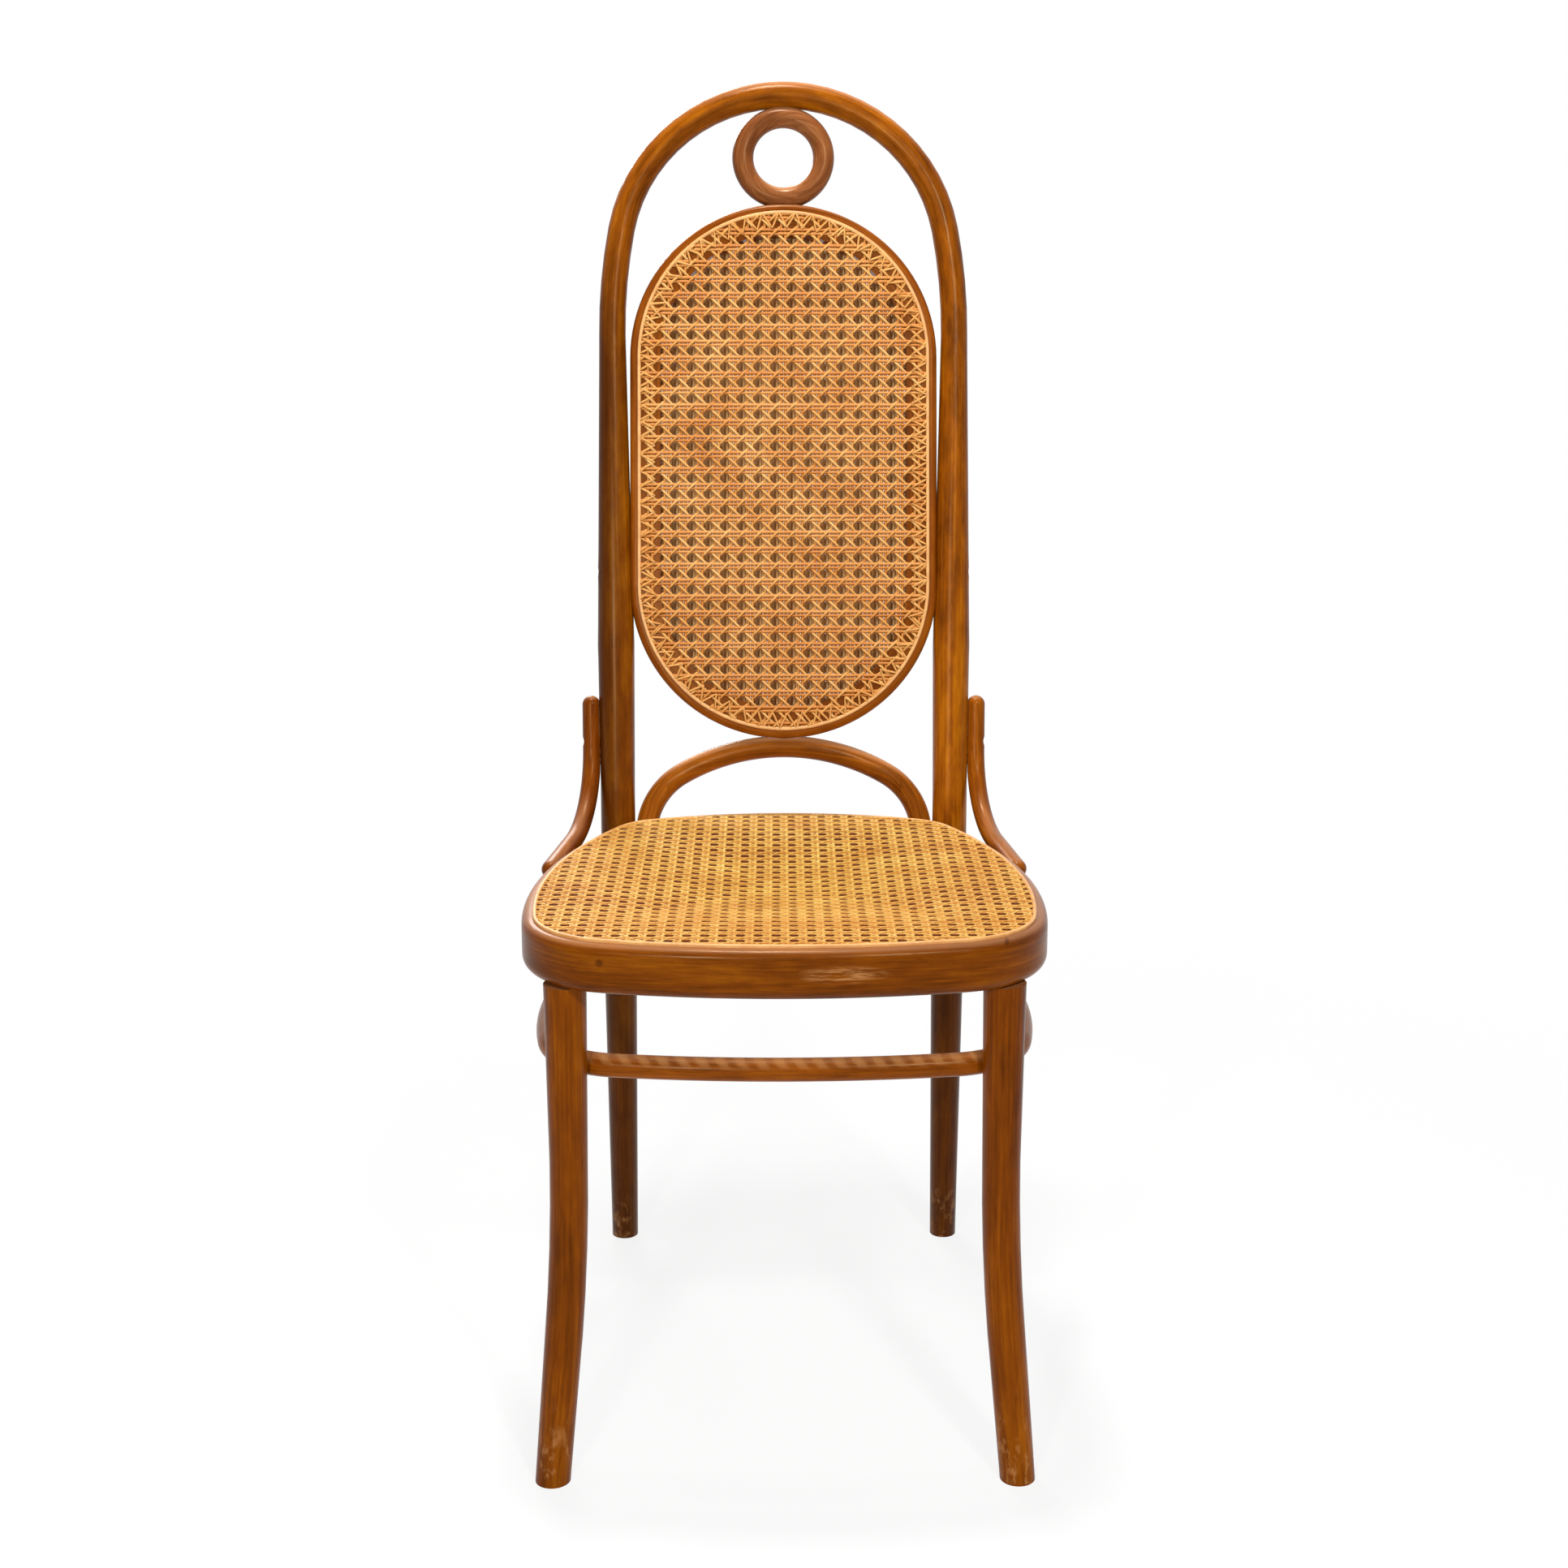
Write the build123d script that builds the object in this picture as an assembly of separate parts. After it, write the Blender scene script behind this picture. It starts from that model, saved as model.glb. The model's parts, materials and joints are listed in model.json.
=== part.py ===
from build123d import *
import os
from math import asin, atan2, cos, degrees, hypot, radians, sin, sqrt, tan

# A bentwood chair with a cane seat and a cane oval in its tall arched back.
# Millimetres. +Z is up and the chair faces -Y. The origin is on the floor, in the middle of the
# chair's width and depth. Left is -X, as seen from the front.

# Overall size
overall_height = 1117.0
overall_depth = 550.0

# Seat ring: a bent rail with a flat top
seat_height = 454.5
seat_width = 426.0
seat_depth = 417.0
seat_widest_from_front = 147.0
seat_front_radius = 680.0
seat_side_radius = 467.0
seat_rear_radius = 374.0
seat_front_corner_radius = 85.0
seat_rear_corner_radius = 62.0
seat_rail_width = 36.0
seat_rail_height = 41.0
seat_rail_top_round = 8.0
seat_rail_bottom_round = 12.0

# Back bow: one tapered rod, up one rear leg and post, over the top and down the other side
bow_top_diameter = 24.5
bow_full_diameter = 33.8
bow_full_height = 610.0
bow_seat_diameter = 31.5
bow_foot_diameter = 25.0
bow_shoulder_half_width = 157.6
bow_shoulder_drop = 233.5
bow_shoulder_radius = 500.0
bow_bend_radius = 250.0
bow_bend_height = 425.0
rear_foot_half_width = 159.0
rear_foot_from_back = 63.0
post_housing = 1.5
post_flat = 1.2

# Front legs: straight above, swept out and forward below
front_leg_top_diameter = 34.0
front_leg_knee_diameter = 30.5
front_leg_foot_diameter = 28.0
front_leg_inset = 17.0
front_leg_bearing = 44.0
front_leg_knee_height = 190.0
front_leg_knee_radius = 900.0
front_foot_splay = 15.5
front_foot_reach = 27.0
tenon_diameter = 20.0
tenon_length = 26.0

# Leg hoop: a bent ring that ties the four legs together from inside
hoop_diameter = 19.0
hoop_height = 338.5
hoop_front_radius = 900.0
hoop_side_radius = 400.0
hoop_rear_radius = 330.0
hoop_front_corner_radius = 66.0
hoop_rear_corner_radius = 90.0
hoop_front_bearing = 30.0
hoop_rear_bearing = 45.0
hoop_bite = 1.5

# Top ring: a small bent ring between the bow and the oval
top_ring_outer_diameter = 94.0
top_ring_rod_diameter = 19.5
top_ring_bow_bite = 1.5
top_ring_panel_bite = 3.1

# Oval panel: a frame of two half circles and two straight sides, caned on both faces
panel_width = 282.0
panel_height = 491.5
panel_rail_width = 28.0
panel_depth = 20.0
panel_edge_round = 5.0

# Inner arch: stands behind the seat ring, between the posts, and carries the oval
arch_diameter = 20.0
arch_leg_half_spacing = 127.0
arch_crown_radius = 188.0
arch_shoulder_radius = 66.0
arch_panel_bite = 2.3
arch_housing = 4.0
arch_housing_width = 22.0
arch_flat = 1.5
arch_end_above_rail_bottom = 4.0

# Side braces: from the post's outer side, down and forward to the seat ring's outer wall
brace_diameter = 16.5
brace_top_height = 556.0
brace_knee_height = 455.0
brace_knee_radius = 88.0
brace_end_from_front = 270.0
brace_end_below_rail_top = 12.5
brace_bite = 1.2
brace_upper_screw_drop = 34.0
brace_lower_screw_from_end = 16.0

# Cane sheets, and the splines that hold their edges in grooves
cane_thickness = 2.0
cane_border = 5.0
seat_gap_pitch = 21.6
seat_gap_diameter = 12.0
panel_gap_pitch = 19.6
panel_gap_diameter = 11.0
spline_width = 3.3
spline_proud = 2.6
spline_round = 1.2
groove_depth = 5.0
seat_groove_inset = 9.0
panel_groove_inset = 7.0

# Screws, bolts and dowels
screw_diameter = 4.5
screw_head_diameter = 9.0
screw_bite = 18.0
screw_tip = 4.0
screw_slot_width = 1.0
screw_slot_depth = 1.1
screw_head_sink = 1.6
panel_screw_drop = 452.0
bolt_diameter = 8.0
bolt_head_diameter = 17.0
bolt_head_height = 4.2
bolt_head_recess = 3.0
bolt_end = 2.0
washer_diameter = 16.0
washer_thickness = 1.6
nut_width = 13.0
nut_height = 6.5
nut_face_depth = 1.5
dowel_diameter = 8.0
dowel_depth = 8.0
dowel_chamfer = 0.8

# Clearances
glue_line = 0.1
fastener_fit = 0.05

up = Vector(0, 0, 1)
right = Vector(1, 0, 0)
base_aligned = (Align.CENTER, Align.CENTER, Align.MIN)
top_aligned = (Align.CENTER, Align.CENTER, Align.MAX)
cut_reach = 60.0
tiny = 1e-4


# Rods: straight tapered runs and round bends, joined end to end

def straight_rod(start, end, start_radius, end_radius):
    run = end - start
    if abs(start_radius - end_radius) < tiny:
        body = Cylinder(start_radius, run.length, align=base_aligned)
    else:
        body = Cone(start_radius, end_radius, run.length, align=base_aligned)
    return Plane(origin=start, z_dir=run) * body


def bent_rod(centre, axis, start, turn, radius, seam):
    # The seam is the side where the round surface closes on itself, away from joints and holes.
    tangent = axis.cross(start - centre)
    section = Plane(origin=start, x_dir=seam, z_dir=tangent) * Circle(radius)
    return revolve(section, axis=Axis(centre, axis), revolution_arc=degrees(turn))


def rod_end(point, outward, radius):
    cap = Sphere(radius, arc_size1=0, arc_size2=90, align=base_aligned)
    return Plane(origin=point, z_dir=outward) * cap


class Bend:
    # The round bend that replaces the corner between two straight runs.
    def __init__(self, before, corner, after, radius):
        incoming = (corner - before).normalized()
        outgoing = (after - corner).normalized()
        self.axis = incoming.cross(outgoing).normalized()
        self.turn = radians(incoming.get_angle(outgoing))
        reach = radius * tan(self.turn / 2)
        self.start = corner - incoming * reach
        self.end = corner + outgoing * reach
        self.centre = self.start + self.axis.cross(incoming) * radius

    def rod(self, radius):
        seam = self.start - self.centre
        return bent_rod(self.centre, self.axis, self.start, self.turn, radius, seam)


def share_at_height(start, end, height):
    return (height - start.Z) / (end.Z - start.Z)


def across(right_half, middle):
    return right_half + middle + mirror(right_half, about=Plane.YZ)


# Rounded loops: a front arc, two side arcs and a rear arc, joined by round corners

class Round:
    def __init__(self, centre, radius):
        self.centre = centre
        self.radius = radius


def circles_meet(first, first_radius, second, second_radius, side):
    gap = second - first
    along = (gap.length**2 + first_radius**2 - second_radius**2) / (2 * gap.length)
    aside = sqrt(first_radius**2 - along**2)
    ahead = gap.normalized()
    return first + ahead * along + up.cross(ahead) * (aside * side)


class RoundedLoop:
    # Only the right half is described. An inset outline keeps every centre.
    def __init__(self, front, front_corner, side, rear_corner, rear):
        self.front = front
        self.front_corner = front_corner
        self.side = side
        self.rear_corner = rear_corner
        self.rear = rear

    def joint(self, large, corner, inset):
        outward = (corner.centre - large.centre).normalized()
        return large.centre + outward * (large.radius - inset)

    def right_points(self, inset):
        return [
            self.front.centre - Vector(0, self.front.radius - inset),
            self.joint(self.front, self.front_corner, inset),
            self.joint(self.side, self.front_corner, inset),
            self.joint(self.side, self.rear_corner, inset),
            self.joint(self.rear, self.rear_corner, inset),
            self.rear.centre + Vector(0, self.rear.radius - inset),
        ]

    def right_rounds(self):
        return [self.front, self.front_corner, self.side, self.rear_corner, self.rear]

    def face(self, inset=0.0):
        points = self.right_points(inset)
        edges = []
        for index, bend in enumerate(self.right_rounds()):
            start = points[index]
            end = points[index + 1]
            outward = ((start - bend.centre) + (end - bend.centre)).normalized()
            middle = bend.centre + outward * (bend.radius - inset)
            edge = ThreePointArc(start, middle, end)
            edges += [edge, mirror(edge, about=Plane.YZ)]
        return make_face(edges)

    def rod(self, radius, height):
        points = self.right_points(0)
        lift = up * height
        runs = []
        for index, bend in enumerate(self.right_rounds()):
            start = points[index] - bend.centre
            end = points[index + 1] - bend.centre
            turn = radians(start.get_angle(end))
            if bend is self.front:
                start = Vector(-end.X, end.Y)
                turn = 2 * turn
            if bend is self.rear:
                turn = 2 * turn
            centre = bend.centre + lift
            runs.append(bent_rod(centre, up, centre + start, turn, radius, seam=-up))
        front, front_corner, side, rear_corner, rear = runs
        return across(front_corner + side + rear_corner, front) + rear


def slab(face, bottom, height):
    return Pos(0, 0, bottom) * extrude(face, height)


# Fasteners: each stands along its own +Z, head up, with the head's bearing place at the origin

def turned(points):
    return revolve(make_face(Plane.XZ * Polyline(points, close=True)), axis=Axis.Z)


def screw(length):
    radius = screw_diameter / 2
    head_radius = screw_head_diameter / 2
    body = turned([
        (0, 0),
        (head_radius, 0),
        (radius, radius - head_radius),
        (radius, screw_tip - length),
        (0, -length),
    ])
    slot = Box(screw_head_diameter, screw_slot_width, screw_slot_depth, align=top_aligned)
    return body - slot


def screw_hole(length):
    radius = screw_diameter / 2 + fastener_fit
    head_radius = screw_head_diameter / 2 + fastener_fit
    return turned([
        (0, cut_reach),
        (head_radius, cut_reach),
        (head_radius, 0),
        (radius, radius - head_radius),
        (radius, screw_tip - length),
        (0, -length - fastener_fit),
    ])


def dowel(length):
    body = Cylinder(dowel_diameter / 2, length)
    return chamfer(body.edges().filter_by(GeomType.CIRCLE), dowel_chamfer)


def dowel_hole(length):
    return Cylinder(dowel_diameter / 2 + fastener_fit, length + 2 * fastener_fit)


def pair(one):
    return [one, mirror(one, about=Plane.YZ)]


# Seat outline
seat_front_y = -overall_depth / 2
seat_back_y = seat_front_y + seat_depth
rail_top = seat_height - cane_thickness
rail_bottom = rail_top - seat_rail_height
rail_middle = (rail_top + rail_bottom) / 2

seat_front = Round(Vector(0, seat_front_y + seat_front_radius), seat_front_radius)
seat_rear = Round(Vector(0, seat_back_y - seat_rear_radius), seat_rear_radius)
seat_side_centre = Vector(seat_width / 2 - seat_side_radius, seat_front_y + seat_widest_from_front)
seat_side = Round(seat_side_centre, seat_side_radius)


def seat_corner(large, radius, side):
    centre = circles_meet(
        large.centre, large.radius - radius, seat_side.centre, seat_side.radius - radius, side
    )
    return Round(centre, radius)


seat_front_corner = seat_corner(seat_front, seat_front_corner_radius, 1)
seat_rear_corner = seat_corner(seat_rear, seat_rear_corner_radius, -1)
seat_loop = RoundedLoop(seat_front, seat_front_corner, seat_side, seat_rear_corner, seat_rear)

# Where the post bears on the seat ring's rear corner
rear_points = seat_loop.right_points(0)
corner_outward = (rear_points[3] + rear_points[4] - seat_rear_corner.centre * 2).normalized()
corner_point = seat_rear_corner.centre + corner_outward * seat_rear_corner.radius
bow_seat_radius = bow_seat_diameter / 2
post_seat = corner_point - corner_outward * post_housing
post_centre = post_seat + corner_outward * (bow_seat_radius - post_flat)

# Side view of the bow: the back and the rear leg both run tangent to one bend behind the seat
bow_top_radius = bow_top_diameter / 2
apex_y = overall_depth / 2 - bow_top_radius
apex_z = overall_height - bow_top_radius
rear_foot_y = overall_depth / 2 - rear_foot_from_back
bend_y = post_centre.Y + bow_bend_radius


def lean_onto_bend(behind, above):
    return asin(bow_bend_radius / hypot(behind, above)) - atan2(behind, above)


back_recline = lean_onto_bend(bend_y - apex_y, apex_z - bow_bend_height)
leg_rake = lean_onto_bend(bend_y - rear_foot_y, bow_bend_height)
bend_corner_reach = bow_bend_radius / cos((back_recline + leg_rake) / 2)
bend_corner_lift = (back_recline - leg_rake) / 2
bow_corner = Vector(
    post_centre.X,
    bend_y - bend_corner_reach * cos(bend_corner_lift),
    bow_bend_height + bend_corner_reach * sin(bend_corner_lift),
)

# The plane of the back: its origin is the rod's centre at the top, and it faces the front
back_plane = Plane(
    origin=(0, apex_y, apex_z),
    x_dir=(1, 0, 0),
    z_dir=(0, -cos(back_recline), sin(back_recline)),
)
back_facing = back_plane.z_dir


def on_back(x, drop):
    return back_plane.from_local_coords(Vector(x, bow_top_radius - drop))


def back_part(part, drop):
    return Plane(origin=on_back(0, drop), x_dir=right, z_dir=back_facing) * part


# Front view of the bow: each post leans out to its shoulder, then two arcs meet over the middle
shoulder = on_back(bow_shoulder_half_width, bow_shoulder_drop)
shoulder_flat = back_plane.to_local_coords(shoulder)
corner_flat = back_plane.to_local_coords(bow_corner)
post_lean = atan2(shoulder_flat.X - corner_flat.X, shoulder_flat.Y - corner_flat.Y)
side_arc_x = shoulder_flat.X - bow_shoulder_radius * cos(post_lean)
side_arc_y = shoulder_flat.Y + bow_shoulder_radius * sin(post_lean)
crown_radius = (bow_shoulder_radius**2 - side_arc_x**2 - side_arc_y**2) / (
    2 * (bow_shoulder_radius + side_arc_y)
)
crown_start = atan2(-crown_radius - side_arc_y, -side_arc_x)
side_arc_centre = back_plane.from_local_coords(Vector(side_arc_x, side_arc_y))
crown_centre = back_plane.from_local_coords(Vector(0, -crown_radius))
crown_joint = back_plane.from_local_coords(
    Vector(crown_radius * cos(crown_start), crown_radius * (sin(crown_start) - 1))
)

rear_foot = Vector(rear_foot_half_width, rear_foot_y, 0)
rear_leg_end = rear_foot + (rear_foot - bow_corner).normalized() * bow_foot_diameter
bow_bend = Bend(rear_foot, bow_corner, shoulder, bow_bend_radius)
bow_full_share = share_at_height(bow_bend.end, shoulder, bow_full_height)
bow_full_point = bow_bend.end + (shoulder - bow_bend.end) * bow_full_share


def make_bow_side(swell=0.0):
    top = bow_top_radius + swell
    full = bow_full_diameter / 2 + swell
    seat = bow_seat_radius + swell
    foot = bow_foot_diameter / 2 + swell
    side = straight_rod(rear_leg_end, bow_bend.start, foot, seat)
    side += bow_bend.rod(seat)
    side += straight_rod(bow_bend.end, bow_full_point, seat, full)
    side += straight_rod(bow_full_point, shoulder, full, top)
    turn = post_lean + crown_start
    side += bent_rod(side_arc_centre, back_facing, shoulder, turn, top, seam=right)
    return side


def make_bow_crown(swell=0.0):
    turn = radians(180) - 2 * crown_start
    seam = crown_joint - crown_centre
    return bent_rod(crown_centre, back_facing, crown_joint, turn, bow_top_radius + swell, seam)


def post_at_height(height):
    share = share_at_height(bow_bend.end, shoulder, height)
    point = bow_bend.end + (shoulder - bow_bend.end) * share
    if height < bow_full_point.Z:
        part_way = share_at_height(bow_bend.end, bow_full_point, height)
        radius = bow_seat_radius + (bow_full_diameter / 2 - bow_seat_radius) * part_way
    else:
        part_way = share_at_height(bow_full_point, shoulder, height)
        radius = bow_full_diameter / 2 + (bow_top_radius - bow_full_diameter / 2) * part_way
    return point, radius


# Front legs
leg_bearing = radians(front_leg_bearing)
leg_offset = Vector(sin(leg_bearing), -cos(leg_bearing)) * (seat_front_corner.radius - front_leg_inset)
leg_top = seat_front_corner.centre + leg_offset + up * rail_bottom
leg_knee = Vector(leg_top.X, leg_top.Y, front_leg_knee_height)
front_foot = Vector(leg_top.X + front_foot_splay, leg_top.Y - front_foot_reach, 0)
front_leg_end = front_foot + (front_foot - leg_knee).normalized() * front_leg_foot_diameter
leg_bend = Bend(leg_top, leg_knee, front_foot, front_leg_knee_radius)


def make_front_leg(swell=0.0):
    top = front_leg_top_diameter / 2 + swell
    knee = front_leg_knee_diameter / 2 + swell
    foot = front_leg_foot_diameter / 2 + swell
    leg = straight_rod(leg_top, leg_bend.start, top, knee)
    leg += leg_bend.rod(knee)
    leg += straight_rod(leg_bend.end, front_leg_end, knee, foot)
    return leg


# Leg hoop: each corner runs past its leg on the inner side
hoop_radius = hoop_diameter / 2
rear_share = share_at_height(rear_leg_end, bow_bend.start, hoop_height)
rear_leg_axis = rear_leg_end + (bow_bend.start - rear_leg_end) * rear_share
rear_leg_radius = (bow_foot_diameter + (bow_seat_diameter - bow_foot_diameter) * rear_share) / 2
front_share = share_at_height(leg_top, leg_bend.start, hoop_height)
front_leg_axis = leg_top + (leg_bend.start - leg_top) * front_share
front_leg_radius = (
    front_leg_top_diameter + (front_leg_knee_diameter - front_leg_top_diameter) * front_share
) / 2
front_inward = Vector(-sin(radians(hoop_front_bearing)), cos(radians(hoop_front_bearing)))
rear_inward = Vector(-sin(radians(hoop_rear_bearing)), -cos(radians(hoop_rear_bearing)))
hoop_at_front_leg = front_leg_axis + front_inward * (front_leg_radius + hoop_radius - hoop_bite)
hoop_at_rear_leg = rear_leg_axis + rear_inward * (rear_leg_radius + hoop_radius - hoop_bite)


def hoop_corner(contact, inward, radius):
    return Round(contact + inward * radius - up * contact.Z, radius)


hoop_front_corner = hoop_corner(hoop_at_front_leg, front_inward, hoop_front_corner_radius)
hoop_rear_corner = hoop_corner(hoop_at_rear_leg, rear_inward, hoop_rear_corner_radius)


def hoop_end_arc(corner, radius, facing):
    spread = sqrt((radius - corner.radius)**2 - corner.centre.X**2)
    return Round(Vector(0, corner.centre.Y - facing * spread), radius)


hoop_front = hoop_end_arc(hoop_front_corner, hoop_front_radius, -1)
hoop_rear = hoop_end_arc(hoop_rear_corner, hoop_rear_radius, 1)
hoop_side_centre = circles_meet(
    hoop_front_corner.centre,
    hoop_side_radius - hoop_front_corner.radius,
    hoop_rear_corner.centre,
    hoop_side_radius - hoop_rear_corner.radius,
    1,
)
hoop_side = Round(hoop_side_centre, hoop_side_radius)
hoop_loop = RoundedLoop(hoop_front, hoop_front_corner, hoop_side, hoop_rear_corner, hoop_rear)

# Down the middle of the back: bow, top ring, oval, inner arch
top_ring_top_drop = bow_top_diameter - top_ring_bow_bite
top_ring_drop = top_ring_top_drop + top_ring_outer_diameter / 2
top_ring_bottom_drop = top_ring_top_drop + top_ring_outer_diameter
panel_top_drop = top_ring_bottom_drop - top_ring_panel_bite
panel_drop = panel_top_drop + panel_height / 2
panel_bottom_drop = panel_top_drop + panel_height
arch_radius = arch_diameter / 2
arch_crown_drop = panel_bottom_drop - arch_panel_bite + arch_radius
arch_crown = on_back(0, arch_crown_drop)


def oval(inset=0.0):
    return SlotOverall(panel_height - 2 * inset, panel_width - 2 * inset, rotation=90)


def panel_block(swell):
    block = extrude(oval(-swell), cut_reach, both=True)
    return back_part(block, panel_drop)


def make_top_ring(swell=0.0):
    rod_radius = top_ring_rod_diameter / 2
    torus = Torus(top_ring_outer_diameter / 2 - rod_radius, rod_radius + swell)
    return back_part(torus, top_ring_drop)


# Inner arch: it stands in its own plane, from under the oval down behind the seat ring
seat_rear_wall_y = seat_rear.centre.Y + sqrt(seat_rear.radius**2 - arch_leg_half_spacing**2)
arch_foot_y = seat_rear_wall_y - arch_housing + arch_radius - arch_flat
arch_lean = atan2(arch_crown.Y - arch_foot_y, arch_crown.Z - rail_middle)
arch_plane = Plane(
    origin=arch_crown, x_dir=(1, 0, 0), z_dir=(0, -cos(arch_lean), sin(arch_lean))
)
arch_facing = arch_plane.z_dir
arch_turn = asin(
    (arch_leg_half_spacing - arch_shoulder_radius) / (arch_crown_radius - arch_shoulder_radius)
)
arch_shoulder_y = arch_crown_radius * (cos(arch_turn) - 1) - arch_shoulder_radius * cos(arch_turn)


def on_arch(x, y):
    return arch_plane.from_local_coords(Vector(x, y))


def arch_leg_at(height):
    return on_arch(arch_leg_half_spacing, (height - arch_crown.Z) / cos(arch_lean))


def make_arch():
    leg_end = arch_leg_at(rail_bottom + arch_end_above_rail_bottom)
    leg_start = on_arch(arch_leg_half_spacing, arch_shoulder_y)
    shoulder_centre = on_arch(arch_leg_half_spacing - arch_shoulder_radius, arch_shoulder_y)
    joint = on_arch(
        arch_crown_radius * sin(arch_turn), arch_crown_radius * (cos(arch_turn) - 1)
    )
    half = straight_rod(leg_end, leg_start, arch_radius, arch_radius)
    shoulder_turn = radians(90) - arch_turn
    half += bent_rod(
        shoulder_centre, arch_facing, leg_start, shoulder_turn, arch_radius, seam=arch_facing
    )
    crown = bent_rod(
        on_arch(0, -arch_crown_radius), arch_facing, joint, 2 * arch_turn, arch_radius, seam=arch_facing
    )
    return across(half, crown)


# Side braces
brace_radius = brace_diameter / 2
brace_post_axis, brace_post_radius = post_at_height(brace_top_height)
brace_top = brace_post_axis + right * (brace_post_radius + brace_radius - brace_bite)
post_run = (shoulder - bow_bend.end).normalized()
brace_knee = brace_top + post_run * ((brace_knee_height - brace_top_height) / post_run.Z)
brace_end_y = seat_front_y + brace_end_from_front
brace_wall = Vector(
    seat_side.centre.X + sqrt(seat_side.radius**2 - (brace_end_y - seat_side.centre.Y)**2),
    brace_end_y,
)
brace_outward = (brace_wall - seat_side.centre).normalized()
brace_end_height = rail_top - brace_end_below_rail_top
brace_end = brace_wall + brace_outward * (brace_radius - brace_bite) + up * brace_end_height
brace_bend = Bend(brace_top, brace_knee, brace_end, brace_knee_radius)


def make_brace():
    brace = straight_rod(brace_top, brace_bend.start, brace_radius, brace_radius)
    brace += brace_bend.rod(brace_radius)
    brace += straight_rod(brace_bend.end, brace_end, brace_radius, brace_radius)
    brace += rod_end(brace_top, brace_top - brace_knee, brace_radius)
    brace += rod_end(brace_end, brace_end - brace_knee, brace_radius)
    return brace


# Fastener places, on the right side where there are two
def screw_place(rod_axis, rod_radius, outward):
    head_place = rod_axis + outward.normalized() * (rod_radius - screw_head_sink)
    return Plane(origin=head_place, z_dir=outward)


brace_down = (brace_knee - brace_top).normalized()
brace_forward = (brace_end - brace_knee).normalized()
brace_upper_place = screw_place(brace_top + brace_down * brace_upper_screw_drop, brace_radius, right)
brace_lower_place = screw_place(
    brace_end - brace_forward * brace_lower_screw_from_end, brace_radius, brace_outward
)
brace_screw_length = brace_diameter - screw_head_sink - brace_bite + screw_bite
hoop_front_place = screw_place(hoop_at_front_leg, hoop_radius, front_inward)
hoop_rear_place = screw_place(hoop_at_rear_leg, hoop_radius, rear_inward)
hoop_screw_length = hoop_diameter - screw_head_sink - hoop_bite + screw_bite
panel_screw_height = on_back(0, panel_screw_drop).Z
panel_post_axis, panel_post_radius = post_at_height(panel_screw_height)
panel_screw_place = screw_place(panel_post_axis, panel_post_radius, right)
panel_screw_reach = panel_post_axis.X + panel_post_radius - panel_width / 2
panel_screw_length = panel_screw_reach - screw_head_sink + screw_bite
arch_screw_place = screw_place(arch_leg_at(rail_middle), arch_radius, -arch_facing)
arch_screw_length = arch_diameter - screw_head_sink - arch_flat + screw_bite

dowel_length = 2 * dowel_depth
bow_dowel_drop = top_ring_top_drop + top_ring_bow_bite / 2
panel_dowel_drop = panel_top_drop + top_ring_panel_bite / 2
arch_dowel_drop = panel_bottom_drop - arch_panel_bite / 2


def dowel_place(drop):
    return Plane(origin=on_back(0, drop), z_dir=back_plane.y_dir)


# Seat bolts: from behind, through the post and the seat ring, with the nut inside the ring
bolt_seat = post_centre + corner_outward * (bow_seat_radius - bolt_head_recess) + up * rail_middle
bolt_place = Plane(origin=bolt_seat, z_dir=corner_outward)
nut_face = corner_point - corner_outward * (seat_rail_width - nut_face_depth) + up * rail_middle
nut_face_below = (bolt_seat - nut_face).length
bolt_length = nut_face_below + washer_thickness + nut_height + bolt_end


def make_bolt():
    head_radius = bolt_head_diameter / 2
    dome_radius = (head_radius**2 + bolt_head_height**2) / (2 * bolt_head_height)
    dome = Pos(0, 0, bolt_head_height - dome_radius) * Sphere(dome_radius)
    head = dome & Cylinder(head_radius, bolt_head_height, align=base_aligned)
    return head + Cylinder(bolt_diameter / 2, bolt_length, align=top_aligned)


def make_washer():
    ring = Circle(washer_diameter / 2) - Circle(bolt_diameter / 2 + fastener_fit)
    return Pos(0, 0, -nut_face_below - washer_thickness) * extrude(ring, washer_thickness)


def make_nut():
    bore = Circle(bolt_diameter / 2 + fastener_fit)
    hexagon = RegularPolygon(nut_width / 2, 6, major_radius=False) - bore
    return Pos(0, 0, -nut_face_below - washer_thickness - nut_height) * extrude(hexagon, nut_height)


def bolt_hole():
    bore = Cylinder(bolt_diameter / 2 + fastener_fit, 2 * bolt_length)
    head = Cylinder(bolt_head_diameter / 2 + fastener_fit, cut_reach, align=base_aligned)
    face_cut = Cylinder(washer_diameter / 2 + fastener_fit, cut_reach, align=top_aligned)
    return bolt_place * (bore + head + Pos(0, 0, -nut_face_below) * face_cut)


brace_holes = pair(brace_upper_place * screw_hole(brace_screw_length)) + pair(
    brace_lower_place * screw_hole(brace_screw_length)
)
hoop_holes = pair(hoop_front_place * screw_hole(hoop_screw_length)) + pair(
    hoop_rear_place * screw_hole(hoop_screw_length)
)
panel_holes = pair(panel_screw_place * screw_hole(panel_screw_length))
arch_holes = pair(arch_screw_place * screw_hole(arch_screw_length))
bolt_holes = pair(bolt_hole())
bow_dowel_hole = dowel_place(bow_dowel_drop) * dowel_hole(dowel_length)
panel_dowel_hole = dowel_place(panel_dowel_drop) * dowel_hole(dowel_length)
arch_dowel_hole = dowel_place(arch_dowel_drop) * dowel_hole(dowel_length)


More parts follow.
